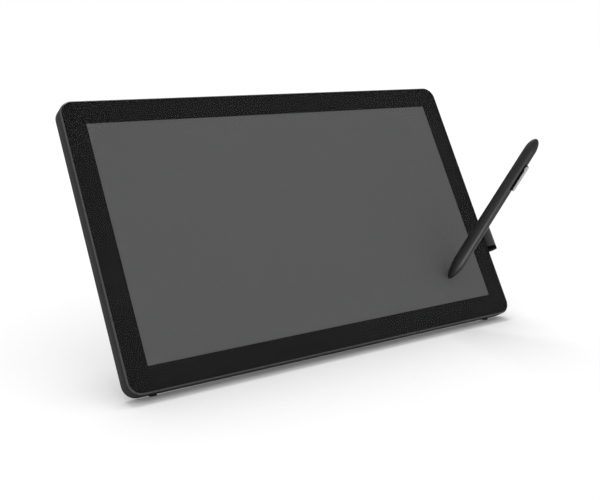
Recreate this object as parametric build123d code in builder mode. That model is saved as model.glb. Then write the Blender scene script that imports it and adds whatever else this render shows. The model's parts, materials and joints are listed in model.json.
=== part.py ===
from build123d import *
import os
from math import cos, radians, sin, sqrt

# Screen and front glass
screen_width = 527.04
screen_height = 296.46
border_side = 27.0
border_end = 27.9
glass_thickness = 1.8
glass_corner = 14.5
glass_edge_break = 0.4
glass_gap = 0.2
glass_proud = 0.3

# Casing
rim_wall = 1.8
rim_chamfer = 1.5
seam_depth = 10.0
edge_depth = 22.0
back_wall = 2.2
edge_round = 2.0
lean_angle = 30.35
desk_clear = 0.8
fit_gap = 0.05
part_gap = 0.3

# Glass seat
border_print = 0.1
tape_thickness = 0.6
tape_width = 5.0
ledge_width = 8.0
ledge_thickness = 1.5

# Panel stack
panel_margin = 5.5
panel_thickness = 1.3
holder_wall = 3.0
holder_lip = 0.8
holder_lip_reach = 4.0
holder_lead = 0.2
panel_side_gap = 1.0
sheet_thickness = 0.25
sheet_gap = 0.05
sheet_count = 3
guide_thickness = 3.0
reflector_thickness = 0.3
led_strip_thickness = 1.2
led_height = 0.8
led_length = 3.6
led_pitch = 10.4
sensor_board_thickness = 0.8
shield_thickness = 0.4
shield_inset = 2.0

# Chassis
chassis_thickness = 1.5
chassis_gap = 0.6
chassis_window_width = 116.0
chassis_window_height = 74.0
chassis_window_corner = 8.0
chassis_window_left = 130.0
chassis_window_low = 37.0
frame_post_radius = 3.0
screw_bore = 1.25

# Back hump
hump_width = 430.0
hump_height = 230.0
hump_depth = 38.0
hump_corner = 22.0
hump_round = 5.0
bay_width = 116.0
bay_height = 26.0
bay_from_end = 27.0
vent_length = 34.0
vent_width = 2.6
vent_pitch_across = 44.0
vent_pitch_up = 7.0
vent_rows = 4
vent_columns = 8
vent_up = 84.0
lock_slot_length = 7.4
lock_slot_width = 3.2
lock_plate_width = 22.0
lock_plate_height = 14.0
lock_plate_thickness = 1.5

# Screws
screw_radius = 1.2
screw_head_radius = 2.6
screw_head_height = 1.5
screw_recess_radius = 3.2
screw_boss_radius = 4.2
drive_radius = 1.2
drive_depth = 0.8
hexagon_sides = 6

# Arm mount on the back
mount_square = 100.0
mount_bore = 2.0
mount_post_radius = 5.0

# Boards and sockets
board_width = 116.0
board_height = 68.0
board_thickness = 1.6
board_stand = 7.4
board_post_radius = 2.6
chip_large = 24.0
chip_small = 9.0
chip_height = 1.4
can_width = 58.0
can_height = 34.0
can_depth = 5.0
can_wall = 0.4
can_corner = 0.8
can_hole = 1.2
can_hole_pitch = 6.0
can_hole_columns = 8
can_hole_rows = 4
socket_wall = 0.8
socket_reach = 14.0
video_tongue_width = 11.8
video_tongue_height = 1.6
usb_tongue_width = 7.2
usb_tongue_height = 3.2
video_width = 15.0
video_height = 6.4
usb_width = 12.0
usb_height = 10.8
power_width = 11.0
power_height = 11.0
power_bore = 3.2
power_pin = 1.0
socket_pitch = 34.0
panel_board_width = 300.0
panel_board_height = 18.0
panel_board_thickness = 1.2
ribbon_width = 26.0
ribbon_thickness = 0.4

# Keys on the top edge
key_length = 13.0
key_width = 3.4
key_proud = 0.8
key_travel = 0.6
key_gap = 0.25
key_lip = 0.7
key_lip_thickness = 1.0
key_pitch = 20.0
key_from_end = 67.22
key_depth = 6.6
key_board_thickness = 1.2
key_board_width = 4.4
key_dome_radius = 1.6
key_dome_height = 1.0
key_bracket_thickness = 1.2

# Pen holder on the right edge
tube_radius = 10.75
tube_bore = 9.4
tube_length = 45.0
tube_floor = 3.0
tube_low = 83.5
tube_off = 2.0
tube_depth = 12.0
tube_drain = 2.5
tube_lip = 0.6
tube_web_length = 30.0
flange_width = 24.0
flange_thickness = 2.0
flange_corner = 3.0
tube_base_height = 5.0
flange_screw_apart = 15.0

# Front feet
foot_from_end = 34.22
foot_length = 8.5
foot_lap = 3.0
foot_proud = 0.8
foot_wrap_angle = 62
quarter_turn = 90

# Stand
hinge_up = 20.0
hinge_off = 12.0
shaft_radius = 4.0
ear_radius = 8.0
ear_width = 12.0
bracket_inner = 62.0
bracket_outer = 102.0
bracket_height = 52.0
bracket_thickness = 3.0
bracket_corner = 4.0
bracket_screw_in = 7.0
bracket_screw_out = 20.0
bracket_screw_up = 19.0
bracket_screw_radius = 1.5
bracket_head_radius = 2.9
bracket_head_height = 1.8
bracket_post_radius = 4.0
washer_thickness = 1.0
washer_radius = 7.2
nut_thickness = 5.0
nut_radius = 5.6
disc_thickness = 1.4
disc_radius = 6.4
shaft_head_radius = 6.0
shaft_head_thickness = 2.5
leg_lean = 26.0
leg_thickness = 8.0
arm_width = 24.0
leg_round = 2.0
top_bar_start = 22.0
top_bar_height = 25.0
low_bar_height = 24.0
window_corner = 9.0
leg_corner = 10.0
leg_foot_radius = 4.0
leg_foot_length = 62.0
leg_foot_right = 84.0

# Release lever
lever_width = 82.0
lever_thickness = 4.2
lever_proud = 1.4
lever_gap = 1.6
lever_floor = 2.6
lever_tab_width = 54.0
lever_tab_reach = 9.0
lever_pin_radius = 1.5
lever_pin_in = 5.0
lever_pin_seat = 6.0
lever_spring_length = 12.0
lever_spring_radius = 2.5
lever_round = 1.2
lever_tab_round = 3.6

# Pen
pen_length = 223.7
grip_radius = 8.9
tail_radius = 8.05
nose_length = 35.5
nose_flat = 0.6
tail_length = 18.0
shell_split = 98.0
nib_out = 1.0
nib_radius = 0.8
nib_length = 40.0
nib_guide_gap = 0.25
nib_travel = 0.8
touch_gap = 0.3
pen_tip_right = 198.7
pen_tip_up = -115.6
pen_lift = 49.4
pen_heading = 61.2
clip_turn = -62.4
pen_wall = 1.6
nose_bore = 4.4
nose_bore_start = 14.0
barrel_bore_start = 34.0
spigot_length = 8.0
spigot_wall = 1.2
coil_start = 16.0
coil_length = 12.0
core_radius = 2.9
coil_radius = 4.0
sensor_length = 9.0
pen_board_length = 36.0
pen_board_width = 9.0
pen_board_thickness = 1.0
pen_board_start = 53.0
switch_start = 51.0
switch_length = 27.0
switch_width = 5.0
switch_proud = 0.25
switch_gap = 0.3
switch_depth = 2.6
pivot_radius = 0.7
pivot_rise = 1.0
pivot_reach = 0.8
dome_height = 0.8
dome_radius = 1.4
dome_shares = (0.25, 0.75)
clip_from_tail = 73.7
clip_length = 38.0
clip_width = 3.8
clip_thickness = 1.4
clip_stand = 2.6
clip_root_length = 6.0
clip_base_width = 6.2
clip_base_proud = 1.0
clip_base_sink = 0.8
clip_notch = 1.2
clip_pin_radius = 0.6
clip_pin_proud = 0.4
clip_groove = 0.5
clip_groove_depth = 0.2
tether_width = 2.4
tether_length = 5.0
tether_depth = 2.6
tether_from_end = 9.0
cap_spigot = 6.0
oval_share = 4 / 3 * (sqrt(2) - 1)

# Sizes that follow
glass_width = screen_width + 2 * border_side
glass_height = screen_height + 2 * border_end
pocket_width = glass_width + 2 * glass_gap
pocket_height = glass_height + 2 * glass_gap
pocket_corner = glass_corner + glass_gap
body_width = pocket_width + 2 * rim_wall
body_height = pocket_height + 2 * rim_wall
body_corner = pocket_corner + rim_wall
foot_right = body_width / 2 - foot_from_end
bay_right = hump_width / 2 - bay_from_end - bay_width / 2
print_back = glass_thickness + border_print
ledge_front = print_back + tape_thickness
ledge_back = ledge_front + ledge_thickness
panel_width = screen_width + 2 * panel_margin
panel_height = screen_height + 2 * panel_margin
panel_back = print_back + panel_thickness
holder_inner_width = panel_width + 2 * panel_side_gap
holder_inner_height = panel_height + 2 * panel_side_gap
holder_width = holder_inner_width + 2 * holder_wall
holder_height = holder_inner_height + 2 * holder_wall
sheets_front = panel_back + holder_lip
guide_front = sheets_front + sheet_count * (sheet_thickness + sheet_gap)
guide_back = guide_front + guide_thickness
sensor_front = guide_back + reflector_thickness
sensor_back = sensor_front + sensor_board_thickness
chassis_front = sensor_back + shield_thickness
chassis_back = chassis_front + chassis_thickness
chassis_width = pocket_width - 2 * chassis_gap
chassis_height = pocket_height - 2 * chassis_gap
guide_bottom = -holder_inner_height / 2 + led_strip_thickness + led_height + part_gap
guide_top = holder_inner_height / 2 - part_gap
back_inner = edge_depth - back_wall
hump_inner = hump_depth - back_wall
lean_sin = sin(radians(lean_angle))
lean_cos = cos(radians(lean_angle))
leg_sin = sin(radians(leg_lean))
leg_cos = cos(radians(leg_lean))
edge_height = desk_clear + edge_depth * lean_sin - edge_round * (lean_sin + lean_cos - 1)

# Stand geometry, in the upright frame of the desk, measured from the front bottom edge
hinge_depth = hump_depth + hinge_off
hinge_rise = (body_height / 2 + hinge_up) * lean_cos - hinge_depth * lean_sin + edge_height
hinge_back = (body_height / 2 + hinge_up) * lean_sin + hinge_depth * lean_cos
leg_length = (hinge_rise - leg_foot_radius) / leg_cos
stand_back = hinge_back + leg_length * leg_sin + leg_foot_radius

# Pen direction: right, up and out of the glass
pen_right = cos(radians(pen_lift)) * cos(radians(pen_heading))
pen_up = cos(radians(pen_lift)) * sin(radians(pen_heading))
pen_out = sin(radians(pen_lift))
pen_toward = pen_up * lean_sin - pen_out * lean_cos
tail_swell = sqrt((tail_radius ** 2) * (1 - pen_toward ** 2) + (tail_length * pen_toward) ** 2)
tail_toward = (body_height / 2 + pen_tip_up) * lean_sin + (pen_length - tail_length) * pen_toward
pen_front = tail_toward - tail_swell
clip_start = pen_length - clip_from_tail

# Middle of the whole footprint, which is the part's origin
middle_right = (2 * tube_radius + tube_off) / 2
middle_back = (stand_back + pen_front) / 2
face_back = body_height / 2 * lean_sin - middle_back
face_rise = body_height / 2 * lean_cos + edge_height
face = Plane(origin=(-middle_right, face_back, face_rise), x_dir=(1, 0, 0), z_dir=(0, -lean_cos, lean_sin))
out_axis = Axis(face.origin, face.z_dir)
up_axis = Axis(face.origin, face.y_dir)
side_axis = Axis(face.origin, face.x_dir)


def on_face(right, up, out=0):
    """A point given from the middle of the screen."""
    return face.from_local_coords(Vector(right, up, out))


def shelf(up):
    """A plane across the display: its first axis runs right, its second into the depth."""
    return Plane(origin=on_face(0, up), x_dir=face.x_dir, z_dir=face.y_dir)


def side(right):
    """A plane along the display's edge: its first axis runs into the depth, its second up."""
    return Plane(origin=on_face(right, 0), x_dir=-face.z_dir, z_dir=face.x_dir)


def block(depth, thickness, width, height, corner=0, places=((0, 0),), mode=Mode.ADD):
    """A flat block in the open sub-part, from a depth behind the glass backwards."""
    with BuildSketch(face.offset(-depth)) as shape:
        with Locations(*places):
            if corner > 0:
                RectangleRounded(width, height, corner)
            else:
                Rectangle(width, height)
    extrude(shape.sketch, amount=-thickness, mode=mode)


def rods(depth, length, radius, places, mode=Mode.ADD):
    """Round rods in the open sub-part, from a depth behind the glass backwards."""
    with BuildSketch(face.offset(-depth)) as shape:
        with Locations(*places):
            Circle(radius)
    extrude(shape.sketch, amount=-length, mode=mode)


def screws(depth, reach, shank, head, head_height, places):
    """Screws with their heads' backs at a depth, running forwards, with a hexagon drive."""
    rods(depth - head_height, head_height, head, places)
    rods(depth - head_height - reach, reach, shank, places)
    with BuildSketch(face.offset(-depth)) as drive:
        with Locations(*places):
            RegularPolygon(drive_radius, hexagon_sides)
    extrude(drive.sketch, amount=drive_depth, mode=Mode.SUBTRACT)


def keep(sub_part, name):
    """Name a finished sub-part and write it."""
    sub_part.part.label = name
    export_step(sub_part.part, "parts/" + name + ".step")


os.makedirs("parts", exist_ok=True)

# Cover glass
with BuildPart() as cover_glass:
    block(0, glass_thickness, glass_width, glass_height, glass_corner)
    chamfer(cover_glass.faces().sort_by(out_axis)[-1].edges(), glass_edge_break)
keep(cover_glass, "cover_glass")

# Black print round the lit area, on the back of the glass
with BuildPart() as glass_border:
    block(glass_thickness, border_print, glass_width, glass_height, glass_corner)
    block(glass_thickness, border_print, screen_width, screen_height, mode=Mode.SUBTRACT)
keep(glass_border, "glass_border")

# Adhesive ring between the glass and the ledge of the frame
with BuildPart() as glass_tape:
    block(print_back, tape_thickness, glass_width, glass_height, glass_corner)
    block(
        print_back,
        tape_thickness,
        glass_width - 2 * tape_width,
        glass_height - 2 * tape_width,
        glass_corner / 2,
        mode=Mode.SUBTRACT,
    )
keep(glass_tape, "glass_tape")

# Places of the posts that carry the chassis, in the channel round the panel
post_right = pocket_width / 2 - ledge_width / 2
post_up = pocket_height / 2 - ledge_width / 2
post_across_shares = (-0.62, -0.21, 0.21, 0.43)
post_side_shares = (-0.72, 0.0, 0.72)
post_places = [(share * post_right, place) for share in post_across_shares for place in (-post_up, post_up)]
post_places += [(place, share * post_up) for share in post_side_shares for place in (-post_right, post_right)]

# Keys, from left to right, and the middle of their row
key_names = ("minus_key", "plus_key", "menu_key", "power_key")
key_last = body_width / 2 - key_from_end
key_places = [key_last - place * key_pitch for place in reversed(range(len(key_names)))]
keys_middle = (key_places[0] + key_places[-1]) / 2
top_inner = pocket_height / 2

# Front frame: the rim round the glass, the ledge under it and the posts behind
with BuildPart() as front_frame:
    block(glass_proud, seam_depth - glass_proud, body_width, body_height, body_corner)
    chamfer(front_frame.faces().sort_by(out_axis)[-1].edges(), rim_chamfer)
    block(0, ledge_front, pocket_width, pocket_height, pocket_corner, mode=Mode.SUBTRACT)
    block(
        ledge_front,
        ledge_thickness,
        pocket_width - 2 * ledge_width,
        pocket_height - 2 * ledge_width,
        mode=Mode.SUBTRACT,
    )
    block(
        ledge_back,
        seam_depth - ledge_back,
        pocket_width,
        pocket_height,
        pocket_corner,
        mode=Mode.SUBTRACT,
    )
    rods(ledge_back, chassis_front - ledge_back, frame_post_radius, post_places)
    rods(ledge_back, chassis_front - ledge_back, screw_bore, post_places, mode=Mode.SUBTRACT)
    with BuildSketch(shelf(top_inner)) as key_holes:
        for place in key_places:
            with Locations((place, key_depth)):
                SlotOverall(key_length + 2 * key_gap, key_width + 2 * key_gap)
    extrude(key_holes.sketch, amount=rim_wall, mode=Mode.SUBTRACT)
keep(front_frame, "front_frame")

# Switched-off liquid crystal panel
with BuildPart() as lcd_panel:
    block(print_back, panel_thickness, panel_width, panel_height)
keep(lcd_panel, "lcd_panel")

# Moulded holder round the panel and the light guide
with BuildPart() as panel_holder:
    holder_front = print_back + holder_lead
    block(holder_front, chassis_front - holder_front, holder_width, holder_height)
    block(
        holder_front,
        panel_back - holder_front,
        holder_inner_width,
        holder_inner_height,
        mode=Mode.SUBTRACT,
    )
    block(
        panel_back,
        holder_lip,
        holder_inner_width - 2 * holder_lip_reach,
        holder_inner_height - 2 * holder_lip_reach,
        mode=Mode.SUBTRACT,
    )
    block(
        sheets_front,
        chassis_front - sheets_front,
        holder_inner_width,
        holder_inner_height,
        mode=Mode.SUBTRACT,
    )
keep(panel_holder, "panel_holder")

# Diffuser and prism sheets
with BuildPart() as optical_sheets:
    for number in range(sheet_count):
        block(
            sheets_front + number * (sheet_thickness + sheet_gap),
            sheet_thickness,
            panel_width,
            guide_top - guide_bottom,
            places=((0, (guide_top + guide_bottom) / 2),),
        )
keep(optical_sheets, "optical_sheets")

# Light guide plate
with BuildPart() as light_guide:
    block(
        guide_front,
        guide_thickness,
        panel_width,
        guide_top - guide_bottom,
        places=((0, (guide_top + guide_bottom) / 2),),
    )
keep(light_guide, "light_guide")

# Reflector behind the light guide
with BuildPart() as reflector_sheet:
    block(
        guide_back,
        reflector_thickness,
        panel_width,
        guide_top - guide_bottom,
        places=((0, (guide_top + guide_bottom) / 2),),
    )
keep(reflector_sheet, "reflector_sheet")

# Strip of lamps along the bottom edge of the light guide
with BuildPart() as led_strip:
    strip_middle = (guide_front + guide_back) / 2
    led_count = int(panel_width / led_pitch)
    with BuildSketch(shelf(-holder_inner_height / 2)) as strip_shape:
        with Locations((0, strip_middle)):
            Rectangle(panel_width, guide_thickness)
    extrude(strip_shape.sketch, amount=led_strip_thickness)
    with BuildSketch(shelf(-holder_inner_height / 2 + led_strip_thickness)) as led_shape:
        with Locations((0, strip_middle)):
            with GridLocations(led_pitch, 0, led_count, 1):
                Rectangle(led_length, guide_thickness / 2)
    extrude(led_shape.sketch, amount=led_height)
keep(led_strip, "led_strip")

# Pen sensing board, its shield and the chassis plate
with BuildPart() as sensor_board:
    block(sensor_front, sensor_board_thickness, panel_width, panel_height)
keep(sensor_board, "sensor_board")

with BuildPart() as shield_plate:
    block(
        sensor_back,
        shield_thickness,
        panel_width - 2 * shield_inset,
        panel_height - 2 * shield_inset,
    )
keep(shield_plate, "shield_plate")

# Places where the back is screwed on, on the hump's posts and where the boards stand
hump_bottom = -hump_height / 2
bay_top = hump_bottom + bay_height
cover_across_shares = (-0.93, -0.4, 0.4, 0.93)
cover_up_share = 0.87
cover_screw_places = [
    (share * body_width / 2, turn * cover_up_share * body_height / 2)
    for share in cover_across_shares
    for turn in (-1, 1)
]
mount_places = [(x * mount_square / 2, y * mount_square / 2) for x in (-1, 1) for y in (-1, 1)]
bracket_places = [
    (turn * (bracket_inner + place), hinge_up + height)
    for turn in (-1, 1)
    for place in (bracket_screw_in, bracket_screw_out)
    for height in (-bracket_screw_up, bracket_screw_up)
]
board_up = bay_top + back_wall + part_gap + board_height / 2
board_front = chassis_back + board_stand
board_back = board_front + board_thickness
board_post_right = board_width / 2 - 2 * board_post_radius
board_post_up = board_height / 2 - 2 * board_post_radius
board_post_places = [
    (bay_right + x * board_post_right, board_up + y * board_post_up) for x in (-1, 1) for y in (-1, 1)
]

with BuildPart() as chassis_plate:
    block(chassis_front, chassis_thickness, chassis_width, chassis_height, glass_corner)
    rods(chassis_front, chassis_thickness, screw_radius + fit_gap, post_places, mode=Mode.SUBTRACT)
    rods(chassis_front, chassis_thickness, screw_radius + fit_gap, cover_screw_places, mode=Mode.SUBTRACT)
    block(
        chassis_front,
        chassis_thickness,
        chassis_window_width,
        chassis_window_height,
        chassis_window_corner,
        places=((-chassis_window_left, -chassis_window_low),),
        mode=Mode.SUBTRACT,
    )
    rods(chassis_back, board_stand, board_post_radius, board_post_places)
    rods(chassis_front, chassis_thickness + board_stand, screw_bore, board_post_places, mode=Mode.SUBTRACT)
keep(chassis_plate, "chassis_plate")

with BuildPart() as chassis_screws:
    screws(
        chassis_back + screw_head_height,
        chassis_back - ledge_back - part_gap,
        screw_radius,
        screw_head_radius,
        screw_head_height,
        post_places,
    )
keep(chassis_screws, "chassis_screws")


def hump_outline(depth, inset):
    """The hump's outline at a depth, drawn in by an inset, with the bay for the plugs left out."""
    with BuildSketch(face.offset(-depth)) as shape:
        RectangleRounded(hump_width - 2 * inset, hump_height - 2 * inset, hump_corner - inset)
        with Locations((bay_right, hump_bottom + bay_height / 2)):
            Rectangle(bay_width + 2 * inset, bay_height + 2 * inset, mode=Mode.SUBTRACT)
    return shape.sketch


# Sockets in the wall above the bay: their places across and their middle depths
socket_sizes = ((power_width, power_height), (video_width, video_height), (usb_width, usb_height))
socket_places = [
    (bay_right + (number - 1) * socket_pitch, board_back + size[1] / 2)
    for number, size in enumerate(socket_sizes)
]

# Pen holder's places: the tube beside the right edge and its flange behind the casing
tube_right = body_width / 2 + tube_off + tube_radius
tube_bottom = -tube_low
tube_top = tube_bottom + tube_length
web_up = (tube_bottom + tube_top) / 2
flange_right = body_width / 2 - edge_round - flange_width / 2
flange_places = [(flange_right, web_up + turn * flange_screw_apart / 2) for turn in (-1, 1)]

# Rear cover: a shallow tray with a rounded edge, and the hump with the bay, vents and holes
with BuildPart() as rear_cover:
    block(seam_depth, edge_depth - seam_depth, body_width, body_height, body_corner)
    fillet(rear_cover.faces().sort_by(out_axis)[0].edges(), edge_round)
    extrude(hump_outline(back_inner, 0), amount=-(hump_depth - back_inner))
    fillet(rear_cover.faces().sort_by(out_axis)[0].edges(), hump_round)
    block(
        seam_depth,
        back_inner - seam_depth,
        body_width - 2 * back_wall,
        body_height - 2 * back_wall,
        body_corner - back_wall,
        mode=Mode.SUBTRACT,
    )
    extrude(hump_outline(back_inner, back_wall), amount=-(hump_inner - back_inner), mode=Mode.SUBTRACT)
    rods(chassis_back, back_inner - chassis_back, screw_boss_radius, cover_screw_places)
    boss_length = edge_depth - chassis_back
    rods(chassis_back, boss_length, screw_radius + fit_gap, cover_screw_places, mode=Mode.SUBTRACT)
    rods(
        edge_depth - screw_head_height,
        screw_head_height,
        screw_recess_radius,
        cover_screw_places,
        mode=Mode.SUBTRACT,
    )
    rods(back_inner, back_wall, screw_radius + fit_gap, flange_places, mode=Mode.SUBTRACT)
    rods(hump_inner, back_wall, mount_post_radius + fit_gap, mount_places, mode=Mode.SUBTRACT)
    rods(hump_inner, back_wall, bracket_screw_radius + fit_gap, bracket_places, mode=Mode.SUBTRACT)
    with BuildSketch(face.offset(-hump_inner)) as vents:
        with Locations((0, vent_up)):
            with GridLocations(vent_pitch_across, vent_pitch_up, vent_columns, vent_rows):
                SlotOverall(vent_length, vent_width)
    extrude(vents.sketch, amount=-back_wall, mode=Mode.SUBTRACT)
    with BuildSketch(shelf(bay_top)) as socket_holes:
        for place, size in zip(socket_places, socket_sizes):
            with Locations(place):
                Rectangle(size[0] + 2 * part_gap, size[1] + 2 * part_gap)
    extrude(socket_holes.sketch, amount=back_wall, mode=Mode.SUBTRACT)
    lock_depth = hump_inner - part_gap - lock_plate_height / 2
    with BuildSketch(side(-hump_width / 2)) as lock_slot:
        with Locations((lock_depth, hump_bottom / 2)):
            SlotOverall(lock_slot_length, lock_slot_width)
    extrude(lock_slot.sketch, amount=back_wall, mode=Mode.SUBTRACT)
keep(rear_cover, "rear_cover")

with BuildPart() as cover_screws:
    screws(
        edge_depth,
        edge_depth - screw_head_height - chassis_front - part_gap,
        screw_radius,
        screw_head_radius,
        screw_head_height,
        cover_screw_places,
    )
keep(cover_screws, "cover_screws")

# Steel plate behind the security slot
with BuildPart() as lock_plate:
    with BuildSketch(side(-hump_width / 2 + back_wall)) as lock_shape:
        with Locations((lock_depth, hump_bottom / 2)):
            Rectangle(lock_plate_height, lock_plate_width)
            SlotOverall(lock_slot_length, lock_slot_width, mode=Mode.SUBTRACT)
    extrude(lock_shape.sketch, amount=lock_plate_thickness)
keep(lock_plate, "lock_plate")

# Threaded posts of the arm mount, flush with the hump, and posts behind the hinge brackets
with BuildPart() as mount_posts:
    rods(chassis_back, hump_depth - chassis_back, mount_post_radius, mount_places)
    rods(chassis_back, hump_depth - chassis_back, mount_bore, mount_places, mode=Mode.SUBTRACT)
keep(mount_posts, "mount_posts")

with BuildPart() as bracket_posts:
    rods(chassis_back, hump_inner - chassis_back, bracket_post_radius, bracket_places)
    rods(
        chassis_back,
        hump_inner - chassis_back,
        bracket_screw_radius + fit_gap,
        bracket_places,
        mode=Mode.SUBTRACT,
    )
keep(bracket_posts, "bracket_posts")

# Main board with its chips and, under the shield can, the processor
can_up = board_up - can_height / 2 + board_height / 2 - 2 * chip_small
with BuildPart() as main_board:
    block(board_front, board_thickness, board_width, board_height, places=((bay_right, board_up),))
    rods(board_front, board_thickness, screw_radius + fit_gap, board_post_places, mode=Mode.SUBTRACT)
    chip_places = [(bay_right + x * chip_large, board_up + board_height / 2 - chip_small) for x in (-1, 0, 1)]
    block(board_back, chip_height, chip_small, chip_small, places=chip_places)
    block(board_back, chip_height, chip_large, chip_large, places=((bay_right, can_up),))
keep(main_board, "main_board")

with BuildPart() as board_screws:
    screws(
        board_back + screw_head_height,
        board_thickness + board_stand / 2,
        screw_radius,
        screw_head_radius,
        screw_head_height,
        board_post_places,
    )
keep(board_screws, "board_screws")

# Pressed shield can over the main board's processor
with BuildPart() as board_can:
    block(board_back, can_depth, can_width, can_height, can_corner, places=((bay_right, can_up),))
    block(
        board_back,
        can_depth - can_wall,
        can_width - 2 * can_wall,
        can_height - 2 * can_wall,
        places=((bay_right, can_up),),
        mode=Mode.SUBTRACT,
    )
    with BuildSketch(face.offset(-(board_back + can_depth - can_wall))) as can_holes:
        with Locations((bay_right, can_up)):
            with GridLocations(can_hole_pitch, can_hole_pitch, can_hole_columns, can_hole_rows):
                Circle(can_hole)
    extrude(can_holes.sketch, amount=-can_wall, mode=Mode.SUBTRACT)
keep(board_can, "board_can")

# Power socket: a block with a round bore and a centre pin
with BuildPart() as power_socket:
    with BuildSketch(shelf(bay_top)) as power_shape:
        with Locations(socket_places[0]):
            Rectangle(power_width, power_height)
    extrude(power_shape.sketch, amount=socket_reach)
    with BuildSketch(shelf(bay_top)) as power_hole:
        with Locations(socket_places[0]):
            Circle(power_bore)
            Circle(power_pin, mode=Mode.SUBTRACT)
    extrude(power_hole.sketch, amount=socket_reach - socket_wall, mode=Mode.SUBTRACT)
keep(power_socket, "power_socket")


def shell_socket(place, size, tongue_width, tongue_height):
    """A pressed socket shell in the open sub-part, with the contact tongue inside."""
    with BuildSketch(shelf(bay_top)) as shape:
        with Locations(place):
            Rectangle(size[0], size[1])
    extrude(shape.sketch, amount=socket_reach)
    with BuildSketch(shelf(bay_top)) as hollow:
        with Locations(place):
            Rectangle(size[0] - 2 * socket_wall, size[1] - 2 * socket_wall)
            Rectangle(tongue_width, tongue_height, mode=Mode.SUBTRACT)
    extrude(hollow.sketch, amount=socket_reach - socket_wall, mode=Mode.SUBTRACT)


with BuildPart() as video_socket:
    shell_socket(socket_places[1], socket_sizes[1], video_tongue_width, video_tongue_height)
keep(video_socket, "video_socket")

with BuildPart() as usb_socket:
    shell_socket(socket_places[2], socket_sizes[2], usb_tongue_width, usb_tongue_height)
keep(usb_socket, "usb_socket")

# Drive board of the panel, below the hump, with the bent flexes that reach it round the holder
panel_board_up = -holder_height / 2 + panel_board_height
panel_board_front = chassis_back + part_gap
with BuildPart() as panel_board:
    block(
        panel_board_front,
        panel_board_thickness,
        panel_board_width,
        panel_board_height,
        places=((0, panel_board_up),),
    )
keep(panel_board, "panel_board")

with BuildPart() as panel_ribbon:
    ribbon_start = panel_board_front + panel_board_thickness
    with BuildSketch(side(bay_right - ribbon_width / 2)) as ribbon_shape:
        with Locations((ribbon_start + ribbon_thickness / 2, (panel_board_up + board_up) / 2)):
            Rectangle(ribbon_thickness, board_up - panel_board_up)
        with Locations(((ribbon_start + board_front) / 2, board_up - ribbon_thickness / 2)):
            Rectangle(board_front - ribbon_start, ribbon_thickness)
    extrude(ribbon_shape.sketch, amount=ribbon_width)
keep(panel_ribbon, "panel_ribbon")

# Small board behind the keys with one dome under each, and its bracket
key_floor = top_inner - part_gap - key_lip_thickness - key_travel - part_gap / 2
with BuildPart() as key_board:
    with BuildSketch(shelf(key_floor - key_dome_height)) as key_board_shape:
        with Locations((keys_middle, key_depth)):
            Rectangle(key_pitch * len(key_names), key_board_width)
    extrude(key_board_shape.sketch, amount=-key_board_thickness)
    with BuildSketch(shelf(key_floor - key_dome_height)) as domes:
        for place in key_places:
            with Locations((place, key_depth)):
                Circle(key_dome_radius)
    extrude(domes.sketch, amount=key_dome_height)
keep(key_board, "key_board")

with BuildPart() as key_bracket:
    bracket_top = key_floor - key_dome_height - key_board_thickness
    with BuildSketch(shelf(bracket_top)) as bracket_shape:
        with Locations((keys_middle, (ledge_back + chassis_front) / 2)):
            Rectangle(key_pitch * len(key_names), chassis_front - ledge_back)
    extrude(bracket_shape.sketch, amount=-key_bracket_thickness)
keep(key_bracket, "key_bracket")

# Keys: a slot-shaped cap with a lip that stays under the frame's wall
for name, place in zip(key_names, key_places):
    with BuildPart() as key:
        with BuildSketch(shelf(top_inner - part_gap)) as cap_shape:
            with Locations((place, key_depth)):
                SlotOverall(key_length, key_width)
        extrude(cap_shape.sketch, amount=part_gap + rim_wall + key_proud)
        chamfer(key.faces().sort_by(up_axis)[-1].edges(), part_gap)
        with BuildSketch(shelf(top_inner - fit_gap)) as lip_shape:
            with Locations((place, key_depth)):
                SlotOverall(key_length + 2 * key_lip, key_width + 2 * key_lip)
        extrude(lip_shape.sketch, amount=-key_lip_thickness)
    keep(key, name)

# Pen holder: a tube with a flange behind the casing
with BuildPart() as pen_holder:
    with BuildSketch(shelf(tube_bottom + tube_base_height)) as tube_shape:
        with Locations((tube_right, tube_depth)):
            Circle(tube_radius)
    extrude(tube_shape.sketch, amount=tube_length - tube_base_height)
    fillet(pen_holder.faces().sort_by(up_axis)[-1].edges(), tube_lip)
    flange_reach = tube_right - (flange_right - flange_width / 2)
    block(
        edge_depth,
        flange_thickness,
        flange_reach,
        tube_web_length,
        places=((tube_right - flange_reach / 2, web_up),),
    )
    fillet(pen_holder.edges().filter_by(out_axis).group_by(side_axis)[0], flange_corner)
    with BuildSketch(shelf(tube_bottom + tube_base_height)) as bore_shape:
        with Locations((tube_right, tube_depth)):
            Circle(tube_bore)
    extrude(bore_shape.sketch, amount=tube_length, mode=Mode.SUBTRACT)
    rods(edge_depth, flange_thickness, screw_radius + fit_gap, flange_places, mode=Mode.SUBTRACT)
keep(pen_holder, "pen_holder")

# Dark base that closes the holder, with a drain hole
with BuildPart() as holder_base:
    with BuildSketch(shelf(tube_bottom)) as base_shape:
        with Locations((tube_right, tube_depth)):
            Circle(tube_radius)
    extrude(base_shape.sketch, amount=tube_base_height)
    fillet(holder_base.faces().sort_by(up_axis)[0].edges(), tube_lip)
    with BuildSketch(shelf(tube_bottom + tube_floor)) as seat_shape:
        with Locations((tube_right, tube_depth)):
            Circle(tube_bore)
    extrude(seat_shape.sketch, amount=tube_base_height - tube_floor, mode=Mode.SUBTRACT)
    with BuildSketch(shelf(tube_bottom)) as drain_shape:
        with Locations((tube_right, tube_depth)):
            Circle(tube_drain)
    extrude(drain_shape.sketch, amount=tube_base_height, mode=Mode.SUBTRACT)
keep(holder_base, "holder_base")

with BuildPart() as holder_screws:
    screws(
        edge_depth + flange_thickness + screw_head_height,
        flange_thickness + back_wall,
        screw_radius,
        screw_head_radius,
        screw_head_height,
        flange_places,
    )
keep(holder_screws, "holder_screws")

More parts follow.
